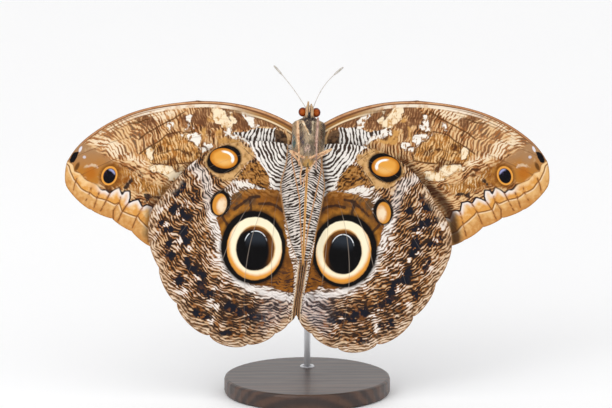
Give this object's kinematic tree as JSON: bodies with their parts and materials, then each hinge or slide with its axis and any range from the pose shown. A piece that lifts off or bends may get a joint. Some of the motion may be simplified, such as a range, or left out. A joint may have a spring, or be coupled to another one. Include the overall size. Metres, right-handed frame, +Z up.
{
  "type": "owl butterfly model on display stand",
  "caption": "Still life-size owl butterfly with its wings spread and underside shown, held leaning back on a round display stand.",
  "frame": {"origin": "centre of the whole model's bounding box, on the flat underside of the stand's base", "axes": "+Z up, +X to the viewer's right, which is the animal's left wings, and -Y towards the viewer, who sees the underside of the wings"},
  "size_m": [0.1458, 0.05, 0.0971],
  "materials": {
    "wing": "matt scales",
    "body": "short soft hair",
    "eye": "glossy",
    "limb": "matt",
    "antenna": "matt",
    "wood": "satin",
    "steel": "satin"
  },
  "bodies": {
    "root": {"abdomen": "body", "antenna_left": "antenna", "antenna_right": "antenna", "eye_left": "eye", "eye_right": "eye", "foreleg_left": "limb", "foreleg_right": "limb", "forewing_left": "wing", "forewing_right": "wing", "head": "body", "hindleg_left": "limb", "hindleg_right": "limb", "hindwing_left": "wing", "hindwing_right": "wing", "midleg_left": "limb", "midleg_right": "limb", "palp_left": "body", "palp_right": "body", "proboscis": "limb", "stand_base": "wood", "stand_rod": "steel", "thorax": "body"}
  },
  "joints": []
}
